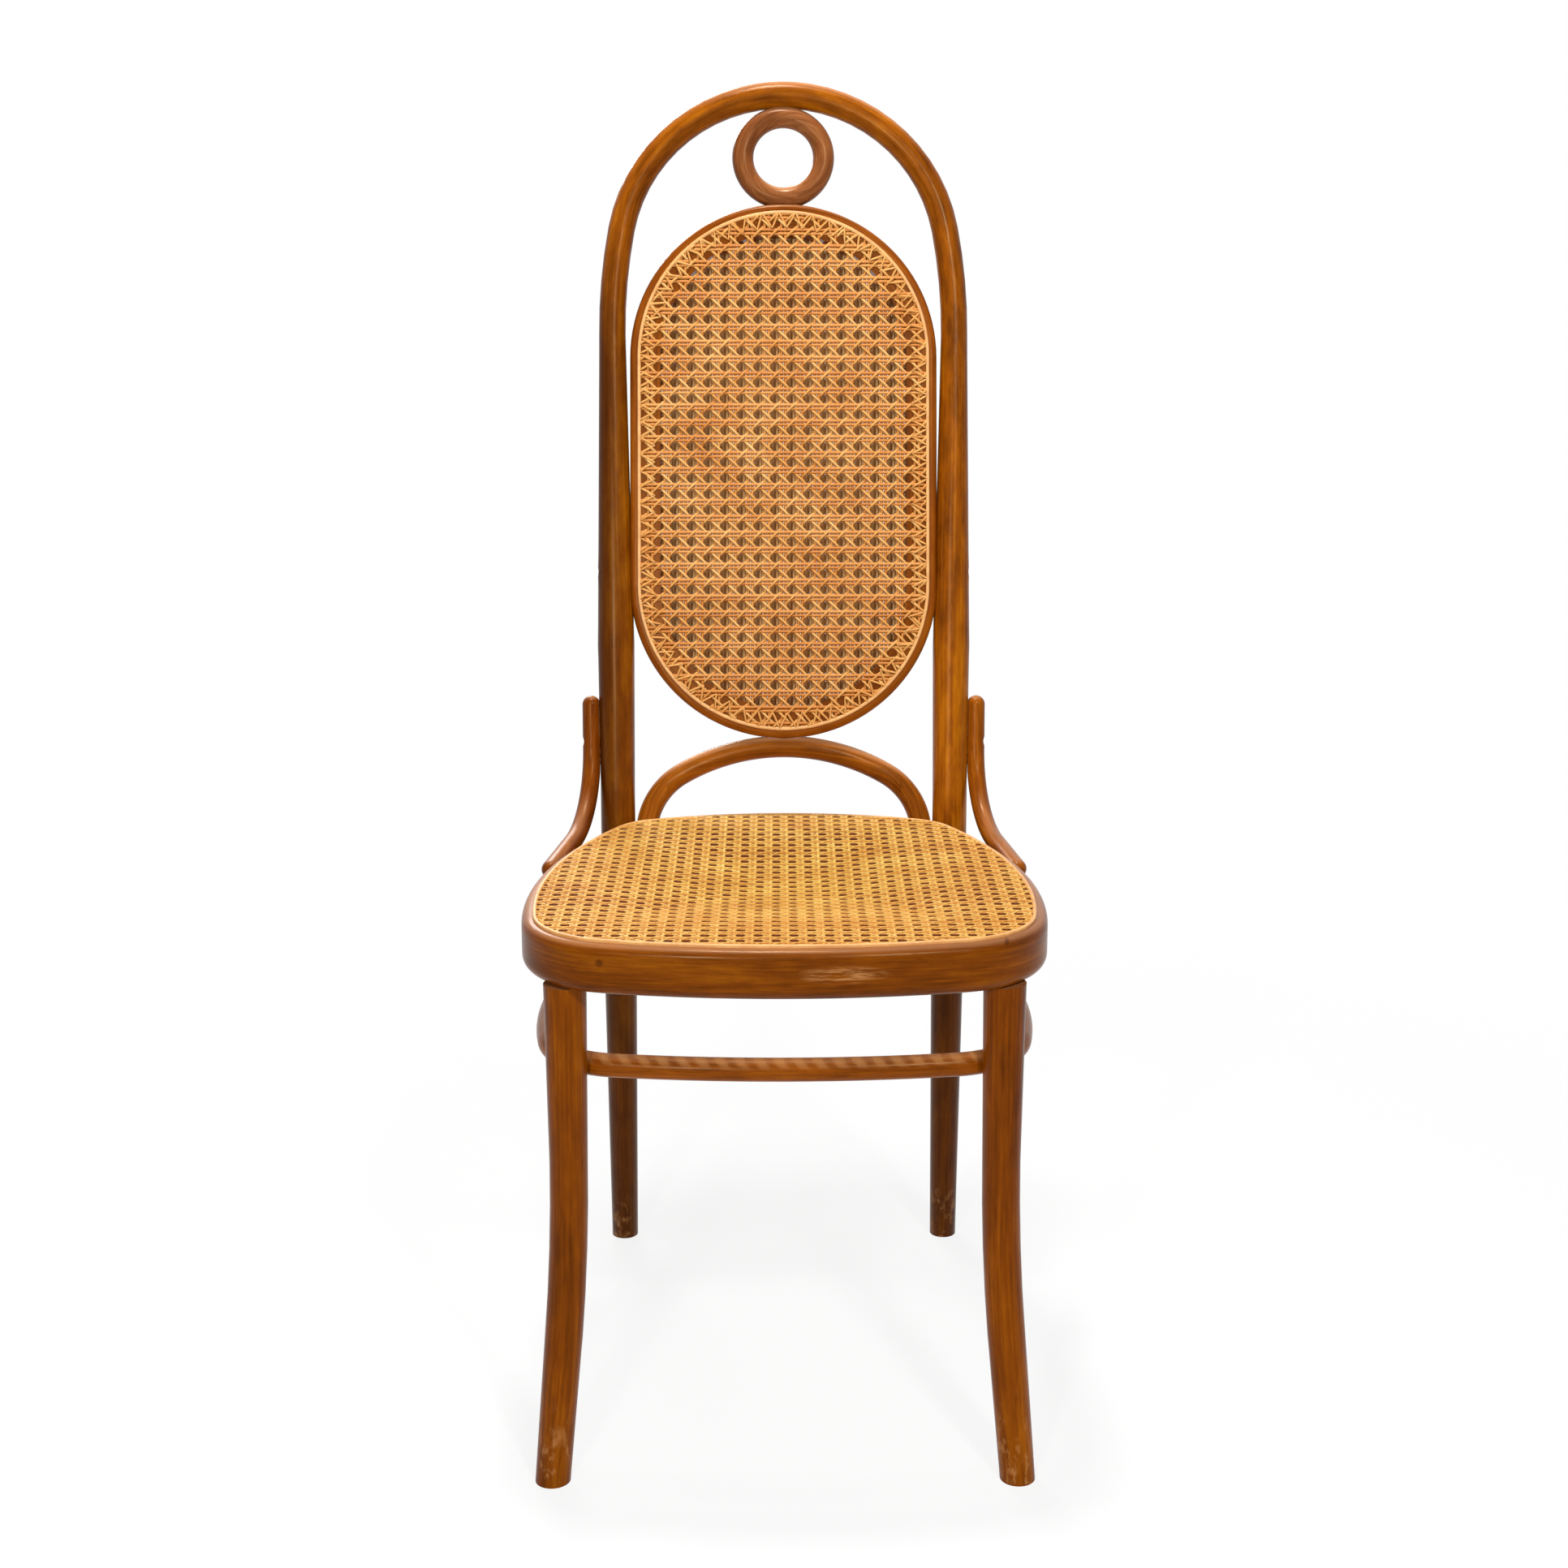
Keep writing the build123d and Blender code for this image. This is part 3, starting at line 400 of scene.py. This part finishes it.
# woven cane: straight pairs both ways, and a single strand along each diagonal
sheets = {
    "seat_weave": {"node": "seat_cane", "slot": "cane", "pitch": (0.0138, 0.0138), "phase": (0.0, 0.0),
                   "right": (1, 0, 0), "up": (0, 1, 0), "out": (0, 0, 1), "dish": 0.010, "lift": 0.0006,
                   "width": 0.0030, "thick": 0.0012, "pairGap": 0.158, "split": 0.0002,
                   "tones": (0.70, 0.54, 0.62, 0.72), "shadeBelow": 0.15, "sunk": 6.0, "cross": 0.5,
                   "stitch": False, "seed": 3},
    "back_weave_front": {"node": "back_cane_front", "slot": "cane", "pitch": (0.0153, 0.0146),
                         "phase": (0.0, 0.0), "right": (1, 0, 0), "up": backUp, "out": backFacing,
                         "dish": 0.0, "lift": 0.0004, "width": 0.0030, "thick": 0.0010,
                         "pairGap": 0.118, "split": 0.0001, "tones": (0.49, 0.45, 0.65, 0.75),
                         "shadeBelow": 0.3, "sunk": 1.0, "cross": 1.0, "stitch": True, "seed": 5},
    # painted light: the rear sheet is paler in tone, and paler still on its face towards the front, against
    # the shade between the two sheets
    "back_weave_rear": {"node": "back_cane_rear", "slot": "cane", "pitch": (0.01546, 0.01475),
                        "phase": (0.4967, 0.6606), "right": (-1, 0, 0), "up": backUp, "out": -backFacing,
                        "dish": 0.0, "lift": 0.0004, "width": 0.0032, "thick": 0.0010,
                        "pairGap": 0.108, "split": 0.0001, "tones": (0.68, 0.64, 0.70, 0.78),
                        "shadeBelow": -0.6, "sunk": 1.0, "cross": 1.0, "stitch": True, "seed": 8},
}
layers = [  # upright pairs, level pairs, then the diagonals, over one kind of pair and under the other
    {"run": (0, 1), "twin": True, "height": -0.0002, "swing": -0.0003, "by": 1, "wide": 1.0},
    {"run": (1, 0), "twin": True, "height": 0.0002, "swing": 0.0003, "by": 0, "wide": 1.0},
    {"run": (1, 1), "twin": False, "height": 0.0, "swing": 0.0010, "by": 1, "wide": 0.8},
    {"run": (1, -1), "twin": False, "height": 0.0, "swing": -0.0010, "by": 1, "wide": 0.8},
]
rimStitch = {"deep": 0.0125, "tuck": 0.0016, "height": 0.0008, "tone": 0.66, "wide": 0.8}
restsOnRail = {"flat": 0.022, "bowl": 0.165}
strandLook = {"lines": 60, "shortest": 0.006, "rings": 0.22, "toneLuck": 0.09, "widthLuck": (0.92, 1.06),
              "shadeCorners": (0.35, 0.0, 0.2, 1.0), "deepFinShade": 0.24, "fibres": 0.01}


def clipToRim(start, step, rim):  # the part of a line inside a convex rim
    low, high = -9.0, 9.0  # past any rim
    for a, b in zip(rim, np.roll(rim, -1, axis=0)):
        inward = np.array((a[1] - b[1], b[0] - a[0]))
        slope = inward @ step
        room = inward @ (a - start)
        if abs(slope) < 1e-12:
            if room > 0:
                return 1.0, 0.0
        elif slope > 0:
            low = max(low, room / slope)
        else:
            high = min(high, room / slope)
    return low, high


def straightStrands(sheet, rim, luck):
    pitch = np.array(sheet["pitch"])
    counted = range(-strandLook["lines"], strandLook["lines"] + 1)
    made = []
    for layer, tone in zip(layers, sheet["tones"]):
        run = np.array(layer["run"], float)
        step = run * pitch / np.linalg.norm(run * pitch)
        lines = [(np.array(((k + 0.5) * pitch[0], 0.0)), 0.0) for k in counted]
        if layer["twin"]:  # one of each pair lies higher than the other
            lines = [((k + side * sheet["pairGap"]) * pitch * (1 - run), side * sheet["split"])
                     for k in counted for side in (-1, 1)]
        for line, rise in lines:
            line = line + np.array(sheet["phase"]) * pitch
            low, high = clipToRim(line, step, rim)
            if high - low < strandLook["shortest"]:
                continue
            low, high = low - rimStitch["tuck"], high + rimStitch["tuck"]
            t = np.linspace(low, high, int((high - low) / (strandLook["rings"] * pitch[0])) + 2)
            spot = line + t[:, None] * step
            turns = (spot / pitch - sheet["phase"])[:, layer["by"]]
            swing = layer["swing"] * (1.0 if layer["twin"] else sheet["cross"])
            height = layer["height"] + rise + swing * np.cos(2 * math.pi * turns)
            sunk, shadeBelow = 1.0, sheet["shadeBelow"]
            if layer["by"] == 0:  # level strands are deeper below, and the lower of a pair gets painted shade on its deep underside, which fills the seat's holes with dark
                sunk = sheet["sunk"] if rise < 0 else (sheet["sunk"] + 1) / 2
                shadeBelow += (sunk - 1) * strandLook["deepFinShade"] if rise < 0 else 0.0
            chance = luck.uniform(-strandLook["toneLuck"], strandLook["toneLuck"])
            made.append((spot, height, tone + chance, layer["wide"], sunk, shadeBelow))
    return made


def rimStrand(sheet, rim):  # the ends turned in and out round the edge
    edge = np.roll(rim, -1, axis=0) - rim
    size = np.linalg.norm(edge, axis=1)
    run = np.concatenate(([0], np.cumsum(size)))
    count = 2 * round(run[-1] / sheet["pitch"][0])
    spots = []
    for i in range(count + 1):
        s = (i % count) * run[-1] / count
        k = int(np.searchsorted(run, s, side="right")) - 1
        inward = np.array((-edge[k][1], edge[k][0])) / size[k]
        inset = rimStitch["deep"] if i % 2 else -rimStitch["tuck"]
        spots.append(rim[k] + edge[k] * (s - run[k]) / size[k] + inward * inset)
    spots = np.array(spots)
    t = np.arange(count * 4 + 1) / 4
    path = np.stack([np.interp(t, np.arange(count + 1), spots[:, i]) for i in (0, 1)], 1)
    height = np.full(len(path), rimStitch["height"])
    return path, height, rimStitch["tone"], rimStitch["wide"], 1.0, sheet["shadeBelow"]


def makeWeave(name, sheet):
    right, up, out = (np.array(sheet[k], float) for k in ("right", "up", "out"))
    points = meshPoints(nodes[sheet["node"]])
    middle = (points.min(0) + points.max(0)) / 2
    rim = outerRim(np.stack(((points - middle) @ right, (points - middle) @ up), 1))
    edge = np.roll(rim, -1, axis=0) - rim
    inward = np.stack((-edge[:, 1], edge[:, 0]), 1) / np.linalg.norm(edge, axis=1)[:, None]
    luck = np.random.default_rng(sheet["seed"])
    corners, grains, tones, faces = [], [], [], []
    count = 0
    strands = straightStrands(sheet, rim, luck)
    if sheet["stitch"]:
        strands.append(rimStrand(sheet, rim))
    for spot, height, tone, part, sunk, shadeBelow in strands:
        inside = ((spot[:, None] - rim) * inward).sum(2).min(1)  # how far in from the rim
        sag = np.clip((inside - restsOnRail["flat"]) / restsOnRail["bowl"], 0, 1)
        sag = sag * sag * (3 - 2 * sag)
        height = sheet["lift"] + height - sheet["dish"] * sag
        centre = middle + spot[:, :1] * right + spot[:, 1:] * up + height[:, None] * out
        step = np.gradient(spot, axis=0)
        reach = np.linalg.norm(step, axis=1)[:, None]
        side = (step[:, 1:] * right - step[:, :1] * up) / reach
        wide = part * sheet["width"] * luck.uniform(*strandLook["widthLuck"]) / 2
        thick = sheet["thick"] / 2
        rings = len(spot)
        corners.append(np.stack((centre + wide * side, centre + thick * out, centre - wide * side,
                                 centre - thick * sunk * out), 1).reshape(-1, 3))
        along = np.repeat(np.cumsum(reach) + luck.uniform(0, 3), 4)
        around = np.tile((1.0, 0.0, -1.0, 0.0), rings) * wide
        grains.append(np.stack((along, around, np.full(rings * 4, count * strandLook["fibres"])), 1))
        shadeCorners = shadeBelow * np.array(strandLook["shadeCorners"])  # painted shade: darker underneath; a negative amount paints it paler
        tones.append(np.tile(tone - shadeCorners, rings))
        base = np.arange(rings - 1)[:, None] * 4 + count
        for a, b in ((0, 1), (1, 2), (2, 3), (3, 0)):
            faces.append(np.concatenate((base + a + 4, base + b + 4, base + b, base + a), 1))
        last = count + (rings - 1) * 4
        firstEnd = [count, count + 1, count + 2, count + 3]
        faces.append(np.array([firstEnd, [last + 3, last + 2, last + 1, last]]))
        count += rings * 4
    mesh = bpy.data.meshes.new(name)
    mesh.from_pydata(np.vstack(corners).tolist(), [], np.vstack(faces).tolist())
    mesh.polygons.foreach_set("use_smooth", np.ones(len(mesh.polygons), bool))
    piece = bpy.data.objects.new(name, mesh)
    scene.collection.objects.link(piece)
    setGrain(piece, np.vstack(grains))
    shade = mesh.attributes.new("tone", "FLOAT", "POINT")
    shade.data.foreach_set("value", np.concatenate(tones).astype(np.float32))
    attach(piece, "root")
    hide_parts(sheet["node"])
    print(name, len(mesh.polygons), "faces")
    return piece


caneLook = {
    # the darkest stop is painted shade, for the strands' undersides
    "undersideShadow": (104, 45, 10), "deep": (146, 82, 24), "orange": (194, 120, 49), "straw": (213, 155, 84),
    "pale": (232, 189, 124), "stops": (0.0, 0.12, 0.38, 0.66, 0.95),
    "cloud": (22.0, 22.0, 22.0), "cloudTone": 0.5, "fibre": (60.0, 2600.0, 100.0), "fibreTone": 0.35,
    "mark": (240.0, 300.0, 100.0), "markEdge": (0.62, 0.75), "markDark": 0.15,
    "gold": (0.96, 1.14, 0.80, 1.0), "goldReach": (0.45, 0.50), "goldMiddle": 0.4, "goldAll": 0.6,
    "rough": 0.48, "roughFibre": 0.2, "bump": 0.3, "bumpDeep": 0.0002, "specular": 0.2,
}


def caneFinish(name, golden):
    made, start = newFinish(name)
    grain = start.node("ShaderNodeAttribute", {"attribute_name": "grain"}, None, "Vector")
    tone = start.node("ShaderNodeAttribute", {"attribute_name": "tone"}, None, "Fac")
    place = start.node("ShaderNodeTexCoord", None, None, "Object")
    cloud = place.noise(caneLook["cloud"], (4.0, 1.0, 2.0))
    fibre = grain.noise(caneLook["fibre"], (0.0, 0.0, 0.0))
    mark = grain.noise(caneLook["mark"], (2.0, 5.0, 1.0), 2.0).step(*caneLook["markEdge"])
    shade = tone + (cloud - 0.5) * caneLook["cloudTone"] + (fibre - 0.5) * caneLook["fibreTone"]
    shade = shade - mark * caneLook["markDark"]
    shades = [linear(*caneLook[k]) for k in ("undersideShadow", "deep", "orange", "straw", "pale")]
    colour = shade.ramp(caneLook["stops"], shades)
    if golden:  # the seat is yellower towards its middle
        apart = start.node("ShaderNodeVectorMath", {"operation": "LENGTH"}, {0: place}, "Value")
        gold = apart.below(*caneLook["goldReach"]) * caneLook["goldMiddle"] + caneLook["goldAll"]
        colour = gold.mixed(colour, caneLook["gold"], "MULTIPLY")
    values = {"Base Color": colour, "Roughness": caneLook["rough"] + (fibre - 0.5) * caneLook["roughFibre"],
              "Normal": fibre.bumped(caneLook["bump"], caneLook["bumpDeep"]),
              "Specular IOR Level": caneLook["specular"]}
    return coated(made, start, values)


seatCane = caneFinish("cane_seat", True)
backCane = caneFinish("cane_back", False)
for name, sheet in sheets.items():
    dress(makeWeave(name, sheet), seatCane if name == "seat_weave" else backCane)
print("cane woven")


# pale reed pressed round the cane
reed = {
    "dark": (184, 116, 54), "light": (228, 174, 106), "stops": (0.25, 0.75), "lighten": 0.08,
    "cloud": (60.0, 60.0, 60.0), "cloudTone": 0.7, "fibre": (500.0, 500.0, 900.0), "fibreTone": 0.3,
    "rough": 0.42, "roughCloud": 0.2, "bump": 0.25, "bumpDeep": 0.0002, "specular": 0.4,
}


def reedFinish():
    made, start = newFinish("reed")
    place = start.node("ShaderNodeTexCoord", None, None, "Object")
    cloud = place.noise(reed["cloud"], (0.0, 0.0, 0.0))
    fibre = place.noise(reed["fibre"], (3.0, 3.0, 3.0))
    shade = cloud * reed["cloudTone"] + fibre * reed["fibreTone"] + reed["lighten"]
    colour = shade.ramp(reed["stops"], [linear(*reed["dark"]), linear(*reed["light"])])
    values = {"Base Color": colour, "Roughness": reed["rough"] + (cloud - 0.5) * reed["roughCloud"],
              "Normal": fibre.bumped(reed["bump"], reed["bumpDeep"]),
              "Specular IOR Level": reed["specular"]}
    return coated(made, start, values)


reedMade = reedFinish()
for name in ("seat_spline", "back_spline_front", "back_spline_rear"):
    dress(nodes[name], reedMade)


# dull steel screws and bolts
steel = {
    "clean": (126, 120, 112), "aged": (70, 60, 50),
    "patina": (260.0, 260.0, 260.0), "patinaEdge": (0.42, 0.66),
    "scratch": (2600.0, 900.0, 900.0), "metalLost": 0.25, "bump": 0.2, "bumpDeep": 0.0001,
    "rough": 0.34, "roughPatina": 0.22, "roughScratch": 0.1,
}


def steelFinish():
    made, start = newFinish("steel_aged")
    place = start.node("ShaderNodeTexCoord", None, None, "Object")
    patina = place.noise(steel["patina"], (0.0, 0.0, 0.0), 4.0).step(*steel["patinaEdge"])
    scratch = place.noise(steel["scratch"], (1.0, 0.0, 0.0), 2.0)
    colour = patina.mixed(linear(*steel["clean"]), linear(*steel["aged"]))
    rough = steel["rough"] + patina * steel["roughPatina"] + (scratch - 0.5) * steel["roughScratch"]
    values = {"Base Color": colour, "Metallic": 1 - patina * steel["metalLost"], "Roughness": rough,
              "Normal": scratch.bumped(steel["bump"], steel["bumpDeep"])}
    return coated(made, start, values)


steelMade = steelFinish()
for name in ("seat_bolts", "seat_bolt_washers", "seat_bolt_nuts", "brace_upper_screws",
             "brace_lower_screws", "leg_hoop_screws", "panel_side_screws", "arch_foot_screws"):
    dress(nodes[name], steelMade)
print("reed and steel finished")


# pale floor that keeps the shadow near the chair and fades to white
floorLook = {"half": 8.0, "drop": 0.0003, "near": 0.45, "far": 1.5, "keep": 0.84,
             "matt": (0.86, 0.86, 0.855, 1.0)}


def seenDirectly(start):
    path = [start.node("ShaderNodeLightPath", None, None, name)
            for name in ("Is Camera Ray", "Is Glossy Ray", "Is Transmission Ray")]
    return path[0].bigger(path[1]).bigger(path[2])


def makeFloor():
    half = floorLook["half"]
    mesh = bpy.data.meshes.new("floor")
    corners = [(-half, -half, 0), (half, -half, 0), (half, half, 0), (-half, half, 0)]
    mesh.from_pydata(corners, [], [(0, 1, 2, 3)])
    floor = bpy.data.objects.new("floor", mesh)
    floor.location.z = -floorLook["drop"]
    scene.collection.objects.link(floor)
    made, start = newFinish("floor_pale")
    place = start.node("ShaderNodeTexCoord", None, None, "Object")
    apart = start.node("ShaderNodeVectorMath", {"operation": "LENGTH"}, {0: place}, "Value")
    white = apart.step(floorLook["near"], floorLook["far"]) * (1 - floorLook["keep"]) + floorLook["keep"]
    matt = start.node("ShaderNodeBsdfDiffuse", None, {"Color": floorLook["matt"]})
    glow = start.node("ShaderNodeEmission", None, {"Color": (1.0, 1.0, 1.0, 1.0), "Strength": 1.0})
    shader = start.node("ShaderNodeMixShader", None, {0: seenDirectly(start) * white, 1: matt, 2: glow})
    start.node("ShaderNodeOutputMaterial", None, {"Surface": shader})
    dress(floor, made)


makeFloor()


# studio light: a soft grey room, white to look at, and four lamps
room = {"grey": 0.12}
lamps = {
    "key": {"at": (0.75, -2.1, 2.1), "aim": (0.0, 0.0, 0.7), "size": 0.28, "power": 35.0},
    "fill": {"at": (-0.55, -2.2, 1.25), "aim": (0.0, 0.0, 0.6), "size": 0.2, "power": 22.0},
    "behind": {"at": (-0.7, 2.1, 1.8), "aim": (0.0, 0.1, 0.7), "size": 1.0, "power": 26.0},
    "top": {"at": (-0.1, 0.1, 2.7), "aim": (0.0, 0.0, 0.6), "size": 0.32, "power": 46.0},
}
world = bpy.data.worlds.new("studio")
scene.world = world
world.use_nodes = True
world.node_tree.nodes.clear()
start = Wire(world.node_tree)
dim = start.node("ShaderNodeBackground", None, {"Color": (room["grey"],) * 3 + (1.0,), "Strength": 1.0})
bright = start.node("ShaderNodeBackground", None, {"Color": (1.0, 1.0, 1.0, 1.0), "Strength": 1.0})
sky = start.node("ShaderNodeMixShader", None, {0: seenDirectly(start), 1: dim, 2: bright})
start.node("ShaderNodeOutputWorld", None, {"Surface": sky})
for name, lamp in lamps.items():
    data = bpy.data.lights.new(name, "AREA")
    data.shape = "DISK"
    data.size = lamp["size"]
    data.energy = lamp["power"]
    made = bpy.data.objects.new(name, data)
    made.location = lamp["at"]
    aim = Vector(lamp["aim"]) - Vector(lamp["at"])
    made.rotation_euler = aim.to_track_quat("-Z", "Y").to_euler()
    scene.collection.objects.link(made)
print("lit")


# the photograph's viewpoint
photoSide = 1932  # pixels
viewpoint = {"at": (-0.005, -1.9647, 1.0026), "pitch": 0.2164, "yaw": 0.011, "roll": -0.0012,
             "sensor": 36.0, "focal": 2876 / photoSide, "shift": (-24 / photoSide, -76.6 / photoSide)}


def makeCamera():
    pitch, yaw, roll = (viewpoint[k] for k in ("pitch", "yaw", "roll"))
    ahead = Vector((math.sin(yaw) * math.cos(pitch), math.cos(yaw) * math.cos(pitch), -math.sin(pitch)))
    level = Vector((math.cos(yaw), -math.sin(yaw), 0.0))
    above = Vector((math.sin(yaw) * math.sin(pitch), math.cos(yaw) * math.sin(pitch), math.cos(pitch)))
    right = math.cos(roll) * level - math.sin(roll) * above
    up = math.sin(roll) * level + math.cos(roll) * above
    turn = Matrix((right, up, -ahead)).transposed().to_4x4()
    data = bpy.data.cameras.new("camera")
    data.sensor_width = viewpoint["sensor"]
    data.lens = viewpoint["focal"] * viewpoint["sensor"]
    data.shift_x, data.shift_y = viewpoint["shift"]
    made = bpy.data.objects.new("camera", data)
    made.matrix_world = Matrix.Translation(viewpoint["at"]) @ turn
    scene.collection.objects.link(made)
    scene.camera = made


makeCamera()
scene.view_settings.view_transform = "Standard"
